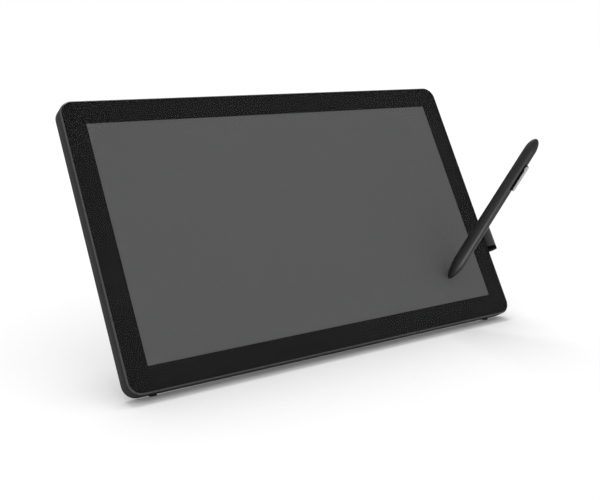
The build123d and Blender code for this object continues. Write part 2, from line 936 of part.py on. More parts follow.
# Front feet: rubber blocks that wrap the rounded lower back edge, cut level with the desk
foot_top = -body_height / 2


def desk_level(depth):
    """How far down the casing's plane the desk lies at a depth."""
    return foot_top - (edge_height - depth * lean_sin) / lean_cos


wrap_centre = (edge_depth - edge_round, foot_top + edge_round)
foot_front = edge_depth - foot_lap
foot_back = edge_depth + foot_proud
with BuildPart() as front_feet:
    for place in (-foot_right, foot_right):
        with BuildSketch(side(place - foot_length / 2)) as foot_shape:
            with BuildLine():
                seat = CenterArc(wrap_centre, edge_round + fit_gap, -quarter_turn, foot_wrap_angle)
                Polyline(
                    seat @ 1,
                    (foot_back, (seat @ 1).Y),
                    (foot_back, desk_level(foot_back)),
                    (foot_front, desk_level(foot_front)),
                    (foot_front, foot_top - fit_gap),
                    seat @ 0,
                )
            make_face()
        extrude(foot_shape.sketch, amount=foot_length)
keep(front_feet, "front_feet")

# Stand: the hinge's planes
hinge_point = on_face(0, hinge_up, -hinge_depth)
leg_down = Vector(0, leg_sin, -leg_cos)
leg_out = Vector(0, leg_cos, leg_sin)
leg_plane = Plane(origin=hinge_point, x_dir=(1, 0, 0), z_dir=leg_out)
leg_axis = Axis(hinge_point, leg_down)
leg_out_axis = Axis(hinge_point, leg_out)


def leg_side(right):
    """A plane across the hinge: its first axis runs down the leg, its second out of its back."""
    return Plane(origin=hinge_point + Vector(right, 0, 0), x_dir=leg_down, z_dir=(1, 0, 0))


def turned(right, length, radius, down=0, out=0, mode=Mode.ADD):
    """A round bar along the hinge line in the open sub-part, from a place rightwards."""
    with BuildSketch(leg_side(right)) as shape:
        with Locations((down, out)):
            Circle(radius)
    extrude(shape.sketch, amount=length, mode=mode)


arm_inner = bracket_outer + washer_thickness
arm_outer = arm_inner + arm_width
bracket_middle = (bracket_inner + bracket_outer) / 2

# Hinge brackets: a plate on the hump and an ear with the bearing bore
for name, turn in (("left_hinge_bracket", -1), ("right_hinge_bracket", 1)):
    with BuildPart() as bracket:
        block(
            hump_depth,
            bracket_thickness,
            bracket_outer - bracket_inner,
            bracket_height,
            bracket_corner,
            places=((turn * bracket_middle, hinge_up),),
        )
        ear_start = turn * (bracket_outer - ear_width / 2) - ear_width / 2
        with BuildSketch(side(ear_start)) as ear_shape:
            with Locations((hump_depth + hinge_off, hinge_up)):
                Circle(ear_radius)
            with Locations((hump_depth + hinge_off / 2, hinge_up)):
                Rectangle(hinge_off, 2 * ear_radius)
        extrude(ear_shape.sketch, amount=ear_width)
        turned(ear_start, ear_width, shaft_radius + fit_gap, mode=Mode.SUBTRACT)
        places = [place for place in bracket_places if place[0] * turn > 0]
        rods(hump_depth, bracket_thickness, bracket_screw_radius + fit_gap, places, mode=Mode.SUBTRACT)
    keep(bracket, name)

with BuildPart() as bracket_screws:
    screws(
        hump_depth + bracket_thickness + bracket_head_height,
        hump_depth + bracket_thickness - chassis_back - part_gap,
        bracket_screw_radius,
        bracket_head_radius,
        bracket_head_height,
        bracket_places,
    )
keep(bracket_screws, "bracket_screws")

# Shafts with a head outside the arm, and what is threaded on them
shaft_inner = bracket_outer - ear_width - disc_thickness - nut_thickness
with BuildPart() as hinge_shafts:
    for turn in (-1, 1):
        shaft_length = arm_outer - shaft_inner
        turned(turn * (shaft_inner + shaft_length / 2) - shaft_length / 2, shaft_length, shaft_radius)
        head_middle = turn * (arm_outer + shaft_head_thickness / 2)
        turned(head_middle - shaft_head_thickness / 2, shaft_head_thickness, shaft_head_radius)
keep(hinge_shafts, "hinge_shafts")

with BuildPart() as friction_washers:
    for turn in (-1, 1):
        start = turn * (bracket_outer + washer_thickness / 2) - washer_thickness / 2
        turned(start, washer_thickness, washer_radius)
        turned(start, washer_thickness, shaft_radius + fit_gap, mode=Mode.SUBTRACT)
keep(friction_washers, "friction_washers")

with BuildPart() as disc_springs:
    for turn in (-1, 1):
        start = turn * (bracket_outer - ear_width - disc_thickness / 2) - disc_thickness / 2
        turned(start, disc_thickness, disc_radius)
        turned(start, disc_thickness, shaft_radius + fit_gap, mode=Mode.SUBTRACT)
keep(disc_springs, "disc_springs")

with BuildPart() as hinge_nuts:
    for turn in (-1, 1):
        start = turn * (shaft_inner + nut_thickness / 2) - nut_thickness / 2
        with BuildSketch(leg_side(start)) as nut_shape:
            RegularPolygon(nut_radius, hexagon_sides)
            Circle(shaft_radius + fit_gap, mode=Mode.SUBTRACT)
        extrude(nut_shape.sketch, amount=nut_thickness)
keep(hinge_nuts, "hinge_nuts")

# Leg: a flat frame of two arms and two bars, with the lever's pocket in the upper bar
leg_end = leg_length - leg_foot_radius
top_bar_end = top_bar_start + top_bar_height
low_bar_start = leg_end - low_bar_height
lever_pocket_width = lever_width + 2 * part_gap
lever_pocket_height = top_bar_height - lever_floor
lever_pocket_end = top_bar_start + lever_floor + lever_pocket_height
lever_pin_down = top_bar_start + lever_floor + lever_pin_in
lever_top = leg_thickness / 2 + lever_proud
lever_under = lever_top - lever_thickness
pocket_floor = lever_under - lever_gap
lever_pin_out = lever_under + lever_thickness / 2
pin_length = lever_pocket_width + 2 * lever_pin_seat
with BuildPart() as leg_frame:
    with BuildSketch(leg_plane.offset(-leg_thickness / 2)) as leg_shape:
        with BuildLine():
            Polyline(
                (-arm_outer, 0),
                (-arm_outer, leg_end),
                (arm_outer, leg_end),
                (arm_outer, 0),
                (arm_inner, 0),
                (arm_inner, top_bar_start),
                (-arm_inner, top_bar_start),
                (-arm_inner, 0),
                close=True,
            )
        make_face()
        with Locations((0, (top_bar_end + low_bar_start) / 2)):
            RectangleRounded(2 * arm_inner, low_bar_start - top_bar_end, window_corner, mode=Mode.SUBTRACT)
    extrude(leg_shape.sketch, amount=leg_thickness)
    fillet(leg_frame.edges().filter_by(leg_out_axis).group_by(leg_axis)[-1], leg_corner)
    fillet(leg_frame.faces().sort_by(leg_out_axis)[-1].edges(), leg_round)
    for turn in (-1, 1):
        start = turn * (arm_inner + arm_width / 2) - arm_width / 2
        turned(start, arm_width, ear_radius)
        turned(start, arm_width, shaft_radius + fit_gap, mode=Mode.SUBTRACT)
    with BuildSketch(leg_plane.offset(pocket_floor)) as pocket_shape:
        with Locations((0, lever_pocket_end - lever_pocket_height / 2)):
            Rectangle(lever_pocket_width, lever_pocket_height)
    extrude(pocket_shape.sketch, amount=leg_thickness, mode=Mode.SUBTRACT)
    turned(
        -pin_length / 2,
        pin_length,
        lever_pin_radius + fit_gap,
        down=lever_pin_down,
        out=lever_pin_out,
        mode=Mode.SUBTRACT,
    )
keep(leg_frame, "leg_frame")

with BuildPart() as lever_pin:
    turned(-pin_length / 2, pin_length, lever_pin_radius, down=lever_pin_down, out=lever_pin_out)
keep(lever_pin, "lever_pin")

# Lever: a bar on the pin with a finger tab over the window
with BuildPart() as release_lever:
    lever_start = lever_pin_down - lever_pin_in + part_gap
    with BuildSketch(leg_plane.offset(lever_under)) as lever_shape:
        with Locations((0, (lever_start + lever_pocket_end) / 2)):
            Rectangle(lever_width, lever_pocket_end - lever_start)
        with Locations((0, lever_pocket_end + lever_tab_reach / 2)):
            Rectangle(lever_tab_width, lever_tab_reach)
        with Locations((0, lever_pin_down)):
            Rectangle(lever_spring_length + 2 * part_gap, 2 * lever_pin_in, mode=Mode.SUBTRACT)
    extrude(lever_shape.sketch, amount=lever_thickness)
    fillet(release_lever.edges().filter_by(leg_out_axis).group_by(leg_axis)[-1], lever_tab_round)
    fillet(release_lever.faces().sort_by(leg_out_axis)[-1].edges(), lever_round)
    turned(
        -lever_width / 2,
        lever_width,
        lever_pin_radius + fit_gap,
        down=lever_pin_down,
        out=lever_pin_out,
        mode=Mode.SUBTRACT,
    )
keep(release_lever, "release_lever")

with BuildPart() as lever_spring:
    spring_start = -lever_spring_length / 2
    turned(spring_start, lever_spring_length, lever_spring_radius, down=lever_pin_down, out=lever_pin_out)
    turned(
        spring_start,
        lever_spring_length,
        lever_pin_radius + fit_gap,
        down=lever_pin_down,
        out=lever_pin_out,
        mode=Mode.SUBTRACT,
    )
keep(lever_spring, "lever_spring")

# Rubber noses on the leg's lower edge
with BuildPart() as leg_feet:
    for place in (-leg_foot_right, leg_foot_right):
        with BuildSketch(leg_side(place - leg_foot_length / 2)) as nose_shape:
            with Locations((leg_length, 0)):
                Circle(leg_foot_radius)
            with Locations((leg_length - leg_foot_radius / 2, 0)):
                Rectangle(leg_foot_radius, 2 * leg_foot_radius)
        extrude(nose_shape.sketch, amount=leg_foot_length)
keep(leg_feet, "leg_feet")

# Pen: its planes
pen_dir = face.x_dir * pen_right + face.y_dir * pen_up + face.z_dir * pen_out
pen_across = face.x_dir * sin(radians(pen_heading)) - face.y_dir * cos(radians(pen_heading))
pen_under = pen_dir.cross(pen_across)
clip_dir = pen_across * cos(radians(clip_turn)) + pen_under * sin(radians(clip_turn))
clip_cross = clip_dir.cross(pen_dir)
tip_out = nib_radius + touch_gap - nib_radius * pen_out
pen_tip = on_face(pen_tip_right, pen_tip_up, tip_out)
pen_plane = Plane(origin=pen_tip, x_dir=clip_dir, z_dir=clip_cross)
pen_axis = Axis(pen_tip, pen_dir)
nose_end = nib_out + nose_length
tail_start = pen_length - tail_length


def pen_slice(along):
    """A plane square to the pen at a distance from its tip; its first axis runs to the clip."""
    return Plane(origin=pen_tip + pen_dir * along, x_dir=clip_dir, z_dir=pen_dir)


def pen_rod(along, length, radius, mode=Mode.ADD):
    """A round rod on the pen's axis in the open sub-part."""
    with BuildSketch(pen_slice(along)) as shape:
        Circle(radius)
    extrude(shape.sketch, amount=length, mode=mode)


def barrel_radius(along):
    """The outer radius of the pen between the nose and the tail."""
    return grip_radius + (tail_radius - grip_radius) * (along - nose_end) / (tail_start - nose_end)


def pen_cone(start, end, swell=0, mode=Mode.ADD):
    """The tapered barrel between two distances from the tip in the open sub-part."""
    with BuildSketch(pen_plane) as shape:
        with BuildLine():
            Polyline(
                (0, start),
                (barrel_radius(start) + swell, start),
                (barrel_radius(end) + swell, end),
                (0, end),
                close=True,
            )
        make_face()
    revolve(shape.sketch, axis=pen_axis, mode=mode)


def pen_oval(radius, shoulder, pole):
    """A half oval end of the pen in the open sub-part, from its shoulder to its pole."""
    swing = oval_share * (pole - shoulder)
    with BuildSketch(pen_plane) as shape:
        with BuildLine():
            points = ((radius, shoulder), (radius, shoulder + swing), (oval_share * radius, pole), (0, pole))
            curve = Bezier(*points)
            Polyline(curve @ 1, (0, shoulder), curve @ 0)
        make_face()
    revolve(shape.sketch, axis=pen_axis)




def cross_rod(along, rise, length, radius, mode=Mode.ADD):
    """A round rod across the pen under the clip's line in the open sub-part, at a height over the axis."""
    middle = pen_tip + pen_dir * along + clip_dir * rise
    with BuildSketch(Plane(origin=middle, x_dir=pen_dir, z_dir=clip_cross)) as shape:
        Circle(radius)
    extrude(shape.sketch, amount=length / 2, both=True, mode=mode)


switch_middle = switch_start + switch_length / 2
switch_bottom = barrel_radius(switch_middle) - switch_depth
pivot_height = switch_bottom + pivot_rise
pivot_length = switch_width + 2 * switch_gap + 2 * pivot_reach
switch_plane = Plane(origin=pen_tip + pen_dir * switch_middle, x_dir=pen_dir, z_dir=clip_dir)
barrel_end_bore = tail_radius - pen_wall
clip_plane = Plane(origin=pen_tip + pen_dir * clip_start, x_dir=pen_dir, z_dir=clip_dir)
base_sink_radius = tail_radius - clip_base_sink
grip_bore = barrel_radius(shell_split) - pen_wall

# Grip shell: the long nose, the seat of the side switch and a spigot bore at its end
with BuildPart() as pen_grip:
    pen_oval(grip_radius, nose_end, nib_out)
    pen_rod(0, nib_out + nose_flat, grip_radius, mode=Mode.SUBTRACT)
    pen_cone(nose_end, shell_split)
    pen_rod(0, nose_bore_start, nib_radius + nib_guide_gap, mode=Mode.SUBTRACT)
    pen_rod(nose_bore_start, barrel_bore_start - nose_bore_start, nose_bore, mode=Mode.SUBTRACT)
    pen_rod(barrel_bore_start, shell_split - barrel_bore_start, grip_bore, mode=Mode.SUBTRACT)
    with BuildSketch(switch_plane) as seat:
        SlotOverall(switch_length + 2 * switch_gap, switch_width + 2 * switch_gap)
    extrude(seat.sketch, amount=2 * grip_radius, mode=Mode.SUBTRACT)
    pivot_bore = pivot_radius + fit_gap
    cross_rod(switch_middle, pivot_height, pivot_length + 2 * fit_gap, pivot_bore, mode=Mode.SUBTRACT)
keep(pen_grip, "pen_grip")

# Rear barrel with its spigot inside the grip
with BuildPart() as pen_barrel:
    pen_cone(shell_split, tail_start)
    pen_rod(shell_split - spigot_length, spigot_length, grip_bore - fit_gap)
    pen_rod(
        shell_split - spigot_length,
        tail_start - shell_split + spigot_length,
        barrel_end_bore - spigot_wall / 2,
        mode=Mode.SUBTRACT,
    )
    with BuildSketch(clip_plane.offset(base_sink_radius)) as base_seat:
        with Locations((clip_length / 2, 0)):
            Rectangle(clip_length + 2 * fit_gap, clip_base_width + 2 * fit_gap)
    extrude(base_seat.sketch, amount=grip_radius, mode=Mode.SUBTRACT)
keep(pen_barrel, "pen_barrel")

# Tail cap with its plug and the notch for a cord
with BuildPart() as tail_cap:
    pen_oval(tail_radius, tail_start, pen_length)
    pen_rod(tail_start - cap_spigot, cap_spigot, barrel_end_bore - spigot_wall / 2 - fit_gap)
    notch_at = pen_length - tether_from_end
    notch_radius = tail_radius - tether_depth
    notch_plane = Plane(origin=pen_tip + pen_dir * notch_at, x_dir=pen_dir, z_dir=-clip_dir)
    with BuildSketch(notch_plane.offset(notch_radius)) as notch:
        SlotOverall(tether_length, tether_width)
    extrude(notch.sketch, amount=grip_radius, mode=Mode.SUBTRACT)
keep(tail_cap, "tail_cap")

# Nib: a thin rod with a round point
with BuildPart() as nib:
    pen_rod(nib_radius, nib_length - nib_radius, nib_radius)
    with BuildSketch(pen_plane) as point:
        with BuildLine():
            ball = CenterArc((0, nib_radius), nib_radius, -quarter_turn, arc_size=quarter_turn)
            Line(ball @ 1, (0, nib_radius))
            Line((0, nib_radius), ball @ 0)
        make_face()
    revolve(point.sketch, axis=pen_axis)
keep(nib, "nib")

# Ferrite core, coil, pressure sensor and board
with BuildPart() as ferrite_core:
    pen_rod(coil_start, coil_length, core_radius)
    pen_rod(coil_start, coil_length, nib_radius + nib_guide_gap, mode=Mode.SUBTRACT)
keep(ferrite_core, "ferrite_core")

with BuildPart() as pen_coil:
    pen_rod(coil_start + part_gap, coil_length - 2 * part_gap, coil_radius)
    pen_rod(coil_start + part_gap, coil_length - 2 * part_gap, core_radius + fit_gap, mode=Mode.SUBTRACT)
keep(pen_coil, "pen_coil")

with BuildPart() as pressure_sensor:
    sensor_start = nib_length + nib_travel + fit_gap
    pen_rod(sensor_start, sensor_length, grip_bore - part_gap)
keep(pressure_sensor, "pressure_sensor")

with BuildPart() as pen_board:
    board_out = switch_bottom - part_gap - dome_height
    board_plane = Plane(origin=pen_tip + pen_dir * pen_board_start, x_dir=pen_dir, z_dir=clip_dir)
    with BuildSketch(board_plane.offset(board_out)) as board_shape:
        with Locations((pen_board_length / 2, 0)):
            Rectangle(pen_board_length, pen_board_width)
    extrude(board_shape.sketch, amount=-pen_board_thickness)
    with BuildSketch(board_plane.offset(board_out)) as dome_shape:
        for share in dome_shares:
            with Locations((switch_start - pen_board_start + share * switch_length, 0)):
                Circle(dome_radius)
    extrude(dome_shape.sketch, amount=dome_height / 2)
keep(pen_board, "pen_board")

# Side switch: a rocker that follows the barrel's surface, with a round pivot at its middle
with BuildPart() as side_switch:
    with BuildSketch(switch_plane.offset(switch_bottom)) as rocker:
        SlotOverall(switch_length, switch_width)
    extrude(rocker.sketch, amount=switch_depth + grip_radius)
    pen_cone(nose_end, shell_split, switch_proud, mode=Mode.INTERSECT)
    cross_rod(switch_middle, pivot_height, pivot_length, pivot_radius)
keep(side_switch, "side_switch")

# Clip base: a dark strip let into the barrel
with BuildPart() as clip_base:
    base_top = tail_radius + clip_base_proud
    with BuildSketch(clip_plane.offset(base_sink_radius)) as base_shape:
        with Locations((clip_length / 2, 0)):
            Rectangle(clip_length, clip_base_width)
    extrude(base_shape.sketch, amount=base_top - base_sink_radius)
keep(clip_base, "clip_base")

# Pocket clip: a bar that stands off the barrel on a root at its tail end, with a round pin across it
root_middle = clip_start + clip_length - clip_notch - clip_root_length / 2
root_low = base_top + part_gap
pin_height = (root_low + tail_radius + clip_stand) / 2
with BuildPart() as pocket_clip:
    bar_under = tail_radius + clip_stand
    with BuildSketch(clip_plane.offset(bar_under)) as bar_shape:
        with Locations((clip_length / 2, 0)):
            SlotOverall(clip_length, clip_width)
    extrude(bar_shape.sketch, amount=clip_thickness)
    with BuildSketch(clip_plane.offset(root_low)) as root_shape:
        with Locations((clip_length - clip_notch - clip_root_length / 2, 0)):
            Rectangle(clip_root_length, clip_width)
    extrude(root_shape.sketch, amount=bar_under - root_low)
    cross_rod(root_middle, pin_height, clip_width + 2 * clip_pin_proud, clip_pin_radius)
    with BuildSketch(clip_plane.offset(bar_under + clip_thickness)) as groove:
        with Locations((clip_length / 2, 0)):
            SlotOverall(clip_length - 2 * clip_width, clip_groove)
    extrude(groove.sketch, amount=-clip_groove_depth, mode=Mode.SUBTRACT)
keep(pocket_clip, "pocket_clip")
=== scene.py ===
import json
from math import pi, radians

import bmesh
import bpy
from bpy.props import FloatProperty, FloatVectorProperty, PointerProperty
from mathutils import Matrix, Vector


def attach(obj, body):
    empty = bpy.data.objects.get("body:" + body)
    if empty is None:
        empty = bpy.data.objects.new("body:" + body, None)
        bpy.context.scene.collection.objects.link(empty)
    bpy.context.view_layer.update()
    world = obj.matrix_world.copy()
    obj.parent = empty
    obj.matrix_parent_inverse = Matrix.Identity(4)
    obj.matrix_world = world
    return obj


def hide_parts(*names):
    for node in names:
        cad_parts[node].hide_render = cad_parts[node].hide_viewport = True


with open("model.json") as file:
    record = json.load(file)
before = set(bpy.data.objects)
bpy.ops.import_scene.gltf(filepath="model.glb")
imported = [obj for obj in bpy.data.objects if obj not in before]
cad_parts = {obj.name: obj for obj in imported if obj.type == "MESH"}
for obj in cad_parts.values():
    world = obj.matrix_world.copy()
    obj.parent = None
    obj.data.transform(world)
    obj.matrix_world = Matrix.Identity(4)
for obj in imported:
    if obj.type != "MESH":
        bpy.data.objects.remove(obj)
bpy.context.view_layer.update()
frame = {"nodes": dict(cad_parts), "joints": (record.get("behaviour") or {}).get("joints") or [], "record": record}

bl_info = {
    "name": "Leaning Pen Display",
    "version": (1, 0, 0),
    "blender": (4, 5, 0),
    "location": "3D View > Sidebar > Pen Display",
    "description": "Finishes a leaning pen display, its stand, keys, holder and pen, and sets its studio",
    "category": "Object",
}

# Sizes are in metres and colours are linear

# The planes of the screen and the pen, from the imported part's mounts and joints
mounts = {mount["name"]: mount for mount in frame["record"]["mounts"]}
joints = {joint["name"]: joint for joint in frame["joints"]}
back_axis = Vector(mounts["arm_mount"]["axis"]).normalized()
screen_right = Vector((1, 0, 0))
screen_out = -back_axis
screen_up = screen_out.cross(screen_right)
mount_depth = 0.038
screen_centre = Vector(mounts["arm_mount"]["pos_m"]) - back_axis * mount_depth
pen_along = Vector(joints["pen_lift"]["axis"]).normalized()

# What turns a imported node's triangles into one skin
weld_distance = 1e-6
flat_turn = radians(0.3)
sharp_turn = radians(35)

# The middle of a noise's range, where nearly all of its values lie
middle = (0.3, 0.7)


def along_screen(right, up, out):
    """A direction or distance given along the screen's own axes."""
    return screen_right * right + screen_up * up + screen_out * out


class TabletSettings(bpy.types.PropertyGroup):
    casing_colour: FloatVectorProperty(
        name="Casing",
        description="Colour of the casing's plastic",
        subtype="COLOR",
        default=(0.028, 0.028, 0.029),
    )
    # Painted highlight: the rim gets a lighter colour than the casing so that its slope reads as lit
    rim_highlight_colour: FloatVectorProperty(
        name="Rim",
        description="Colour of the polished slope round the glass",
        subtype="COLOR",
        default=(0.045, 0.045, 0.046),
    )
    print_colour: FloatVectorProperty(
        name="Border",
        description="Colour of the print round the picture",
        subtype="COLOR",
        default=(0.0128, 0.0128, 0.0131),
    )
    picture_colour: FloatVectorProperty(
        name="Picture",
        description="Colour of the switched-off panel",
        subtype="COLOR",
        default=(0.1365, 0.1365, 0.1375),
    )
    stand_colour: FloatVectorProperty(
        name="Stand",
        description="Colour of the stand's powder coat",
        subtype="COLOR",
        default=(0.03, 0.03, 0.032),
    )
    rubber_colour: FloatVectorProperty(
        name="Rubber",
        description="Colour of the feet",
        subtype="COLOR",
        default=(0.012, 0.012, 0.012),
    )
    grain_size: FloatProperty(
        name="Grain", description="Size of the casing's moulded grain", unit="LENGTH", default=0.0006
    )
    grain_depth: FloatProperty(
        name="Grain depth", description="Depth of the moulded grain", unit="LENGTH", default=0.00004
    )
    etch_size: FloatProperty(
        name="Etching", description="Size of the etched glass's texture", unit="LENGTH", default=0.0003
    )


class PenSettings(bpy.types.PropertyGroup):
    barrel_colour: FloatVectorProperty(
        name="Barrel",
        description="Colour of the pen's soft coat",
        subtype="COLOR",
        default=(0.013, 0.013, 0.0135),
    )
    # Painted shade: the strip under the clip is near black, partly its own black plastic and partly the shadow
    # under the clip
    base_shade_colour: FloatVectorProperty(
        name="Base",
        description="Colour of the strip under the clip",
        subtype="COLOR",
        default=(0.0025, 0.0025, 0.0026),
    )
    clip_colour: FloatVectorProperty(
        name="Clip",
        description="Colour of the clip's metal",
        subtype="COLOR",
        default=(0.48, 0.48, 0.49),
    )


class StudioSettings(bpy.types.PropertyGroup):
    key_strength: FloatProperty(
        name="Key light", description="Strength of the far, wide light behind", default=1.4
    )
    key_spread: FloatProperty(
        name="Spread", description="How wide the far light is", subtype="ANGLE", default=0.6
    )
    card_strength: FloatProperty(
        name="Pen card",
        description="Power of the card whose reflection runs along the pen",
        unit="POWER",
        default=1.5,
    )
    world_strength: FloatProperty(
        name="World", description="Strength of the sky on the object", default=0.8
    )
    floor_lift: FloatProperty(
        name="Floor lift", description="What the floor's look gains so that it is white", default=0.05
    )
    lens: FloatProperty(name="Lens", description="Focal length", unit="CAMERA", default=55.05)
    floor_colour: FloatVectorProperty(
        name="Floor",
        description="Colour of the floor",
        subtype="COLOR",
        default=(0.86, 0.86, 0.86),
    )


class Finish:
    """A material's node tree with short calls for its nodes."""

    def __init__(self, name):
        self.material = bpy.data.materials.new(name)
        self.material.use_nodes = True
        self.nodes = self.material.node_tree.nodes
        self.links = self.material.node_tree.links
        self.nodes.clear()
        self.output = self.nodes.new("ShaderNodeOutputMaterial")
        self.place = self.node("TexCoord").outputs["Object"]

    def node(self, kind, inputs=None, **settings):
        """A node of a kind, with its settings and what goes into its sockets."""
        made = self.nodes.new("ShaderNode" + kind)
        for name, value in settings.items():
            setattr(made, name, value)
        for name, value in (inputs or {}).items():
            if isinstance(value, bpy.types.NodeSocket):
                self.links.new(value, made.inputs[name])
            else:
                made.inputs[name].default_value = value
        return made

    def turned(self, turn, stretch=(1, 1, 1)):
        """The object's coordinates, turned and stretched."""
        inputs = {"Vector": self.place, "Rotation": turn, "Scale": stretch}
        return self.node("Mapping", inputs, vector_type="TEXTURE").outputs[0]

    def noise(self, size, detail=2.0, vector=None, roughness=0.5):
        """Noise whose blotches are about as large as a size."""
        inputs = {
            "Vector": vector or self.place,
            "Scale": 1 / size,
            "Detail": detail,
            "Roughness": roughness,
        }
        return self.node("TexNoise", inputs).outputs["Fac"]

    def cells(self, size, feature="F1", output="Distance", randomness=1.0):
        """Cells whose pitch is about a size."""
        inputs = {"Vector": self.place, "Scale": 1 / size, "Randomness": randomness}
        return self.node("TexVoronoi", inputs, feature=feature).outputs[output]

    def bands(self, scale, vector=None, distortion=0.0):
        """Waves along the X axis."""
        inputs = {"Vector": vector or self.place, "Scale": scale, "Distortion": distortion}
        return self.node("TexWave", inputs, bands_direction="X").outputs["Fac"]

    def combined(self, first, second, operation="ADD"):
        """Two values joined by a sum, or by another operation."""
        return self.node("Math", {0: first, 1: second}, operation=operation).outputs[0]

    def between(self, value, low, high, start=0.0, end=1.0):
        """A value stretched from one range to another."""
        inputs = {"Value": value, "From Min": start, "From Max": end, "To Min": low, "To Max": high}
        return self.node("MapRange", inputs).outputs[0]

    def blend(self, share, first, second):
        """Two colours mixed by a share."""
        made = self.node("Mix", {0: share}, data_type="RGBA")
        first_socket, second_socket = 6, 7
        for number, colour in ((first_socket, first), (second_socket, second)):
            if isinstance(colour, bpy.types.NodeSocket):
                self.links.new(colour, made.inputs[number])
            else:
                made.inputs[number].default_value = (*colour[:3], 1)
        return made.outputs[2]

    def bump(self, height, distance):
        """A normal that follows a height."""
        return self.node("Bump", {"Height": height, "Distance": distance, "Strength": 1.0}).outputs[0]

    def surface(self, **inputs):
        """Ends the tree in a Principled shader and gives the material."""
        names = {}
        for name, value in inputs.items():
            names[name.replace("_", " ").title().replace("Ior", "IOR")] = value
        self.shader = self.node("BsdfPrincipled", names)
        self.links.new(self.shader.outputs[0], self.output.inputs[0])
        return self.material

    def mixed(self, share, first, second):
        """Ends the tree in a mix of two shaders and gives the material."""
        shader = self.node("MixShader", {0: share, 1: first, 2: second})
        self.links.new(shader.outputs[0], self.output.inputs[0])
        return self.material


def shade(colour, factor):
    """A colour made darker or lighter."""
    return tuple(min(1.0, part * factor) for part in colour[:3])


# Finishes


def moulded(name, colour, roughness, grain, depth, tint=0.16, shine=0.25, patch=0.05):
    """Moulded plastic with a fine grain, faint flow marks and uneven gloss."""
    finish = Finish(name)
    flow = finish.between(finish.noise(patch, 3.0), 0, 1, *middle)
    spots = finish.cells(grain)
    fine = finish.noise(grain, 2.0)
    gloss = finish.noise(patch / 4, 2.0)
    tone = finish.blend(flow, shade(colour, 1 - tint), shade(colour, 1 + tint))
    tone = finish.blend(finish.between(fine, 0, 0.35, 0.35, 0.7), tone, shade(colour, 1.35))
    return finish.surface(
        base_color=tone,
        roughness=finish.between(gloss, roughness - 0.05, roughness + 0.06, *middle),
        specular_ior_level=shine,
        normal=finish.bump(finish.combined(spots, fine), depth),
    )


def etched(name, size, shine=0.5):
    """Anti-glare glass: clear, with a faint satin shine that grows at a slant."""
    finish = Finish(name)
    frost = finish.noise(size, 1.0)
    cloud = finish.noise(size * 200, 2.0)
    finish.surface(
        base_color=finish.blend(cloud, (0.02, 0.02, 0.021), (0.034, 0.034, 0.036)),
        roughness=finish.between(frost, 0.3, 0.42),
        specular_ior_level=shine,
        normal=finish.bump(frost, size / 100),
    )
    clear = finish.node("BsdfTransparent")
    slant = finish.node("LayerWeight", {"Blend": 0.35}).outputs["Facing"]
    steep = finish.combined(slant, 3.0, "POWER")
    share = finish.between(steep, 0.05, 0.3)
    return finish.mixed(share, clear.outputs[0], finish.shader.outputs[0])


def printed(name, colour):
    """Flat black ink, laid in passes that differ a little."""
    finish = Finish(name)
    pass_width = 0.09
    speck_size = 0.0008
    passes = finish.noise(pass_width, 2.0, finish.turned((0, 0, 0), (3, 1, 1)))
    specks = finish.noise(speck_size, 1.0)
    tone = finish.blend(passes, shade(colour, 0.8), shade(colour, 1.25))
    return finish.surface(
        base_color=finish.blend(finish.between(specks, 0, 0.2, 0.5, 0.8), tone, shade(colour, 1.8)),
        roughness=finish.between(specks, 0.42, 0.56),
        specular_ior_level=0.02,
    )


def picture(name, colour):
    """A switched-off panel: even grey with a fine grid of lines and a faint cloud."""
    finish = Finish(name)
    cloud_size = 0.3
    line_pitch = 0.0006
    cloud = finish.noise(cloud_size, 1.0)
    grid = finish.cells(line_pitch, randomness=0.15)
    tone = finish.blend(cloud, shade(colour, 0.97), shade(colour, 1.03))
    return finish.surface(
        base_color=finish.blend(finish.between(grid, 0, 0.12), tone, shade(colour, 0.8)),
        roughness=finish.between(grid, 0.5, 0.6),
        specular_ior_level=0.04,
    )


def rubbery(name, colour, pore_size=0.0009):
    """Matte rubber or foam with open pores, the pores painted darker inside as shade."""
    finish = Finish(name)
    dust_size = 0.012
    pores = finish.cells(pore_size)
    dust = finish.noise(dust_size, 4.0)
    tone = finish.blend(finish.between(dust, 0, 0.6, 0.5, 0.8), colour, shade(colour, 2.2))
    # Painted shade: the pores are darker, together with real dust that is lighter
    return finish.surface(
        base_color=finish.blend(finish.between(pores, 0.5, 0, 0, 0.3), tone, shade(colour, 0.5)),
        roughness=finish.between(dust, 0.78, 0.92),
        specular_ior_level=0.3,
        normal=finish.bump(pores, pore_size / 12),
    )


def brushed(name, colour, roughness, turn=(0, 0, 0), line=0.00025, reach=0.012):
    """Metal with fine lines one way, cloudy gloss and a few longer scratches."""
    finish = Finish(name)
    cloud_size = 0.01
    along = (reach / line, 1, 1)
    lines = finish.noise(line, 3.0, finish.turned(turn, along))
    cloud = finish.noise(cloud_size, 3.0)
    scratch = finish.noise(line * 5, 1.0, finish.turned(turn, along))
    tone = finish.blend(finish.between(lines, 0, 1, *middle), shade(colour, 0.82), shade(colour, 1.1))
    tone = finish.blend(finish.between(scratch, 0, 0.5, 0.62, 0.75), tone, shade(colour, 1.35))
    uneven = finish.between(cloud, roughness, roughness + 0.1)
    return finish.surface(
        base_color=tone,
        metallic=1.0,
        roughness=finish.combined(finish.between(lines, 0, 0.1), uneven),
        normal=finish.bump(lines, line / 10),
    )


